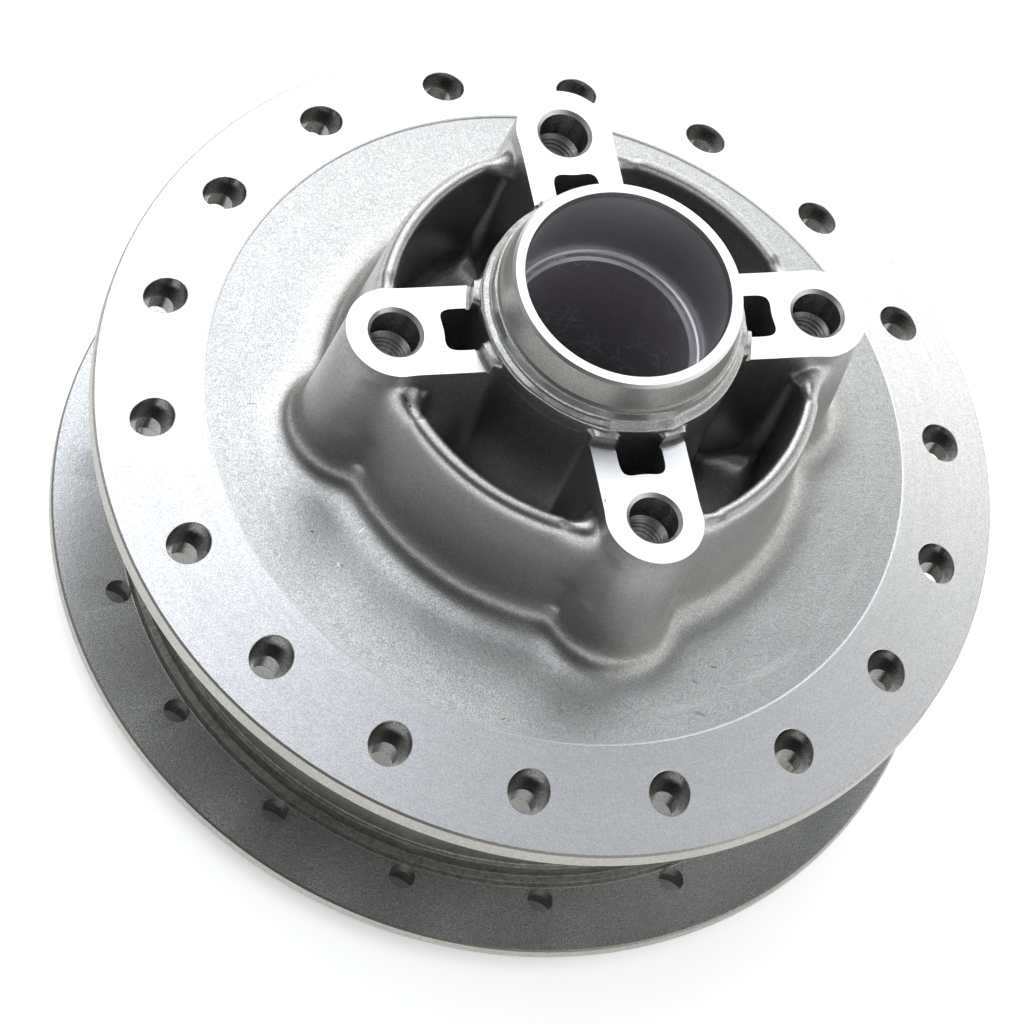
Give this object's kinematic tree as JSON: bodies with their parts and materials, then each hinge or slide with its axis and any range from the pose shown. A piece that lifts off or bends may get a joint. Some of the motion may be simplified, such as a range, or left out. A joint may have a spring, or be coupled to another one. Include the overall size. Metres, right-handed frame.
{
  "type": "motorcycle wheel hub",
  "caption": "Cast aluminium rear wheel hub with drilled spoke flanges, sprocket arms with stud holes, bearing seats and a brake drum.",
  "frame": {"origin": "on the axle, at the face of the drum mouth that the hub stands on", "axes": "+Z along the axle towards the sprocket side, +X and +Y through two of the sprocket arms"},
  "size_m": [0.1929, 0.1928, 0.1185],
  "materials": {
    "hub_casting": "satin"
  },
  "bodies": {
    "root": {"hub_casting": "hub_casting"}
  },
  "joints": []
}
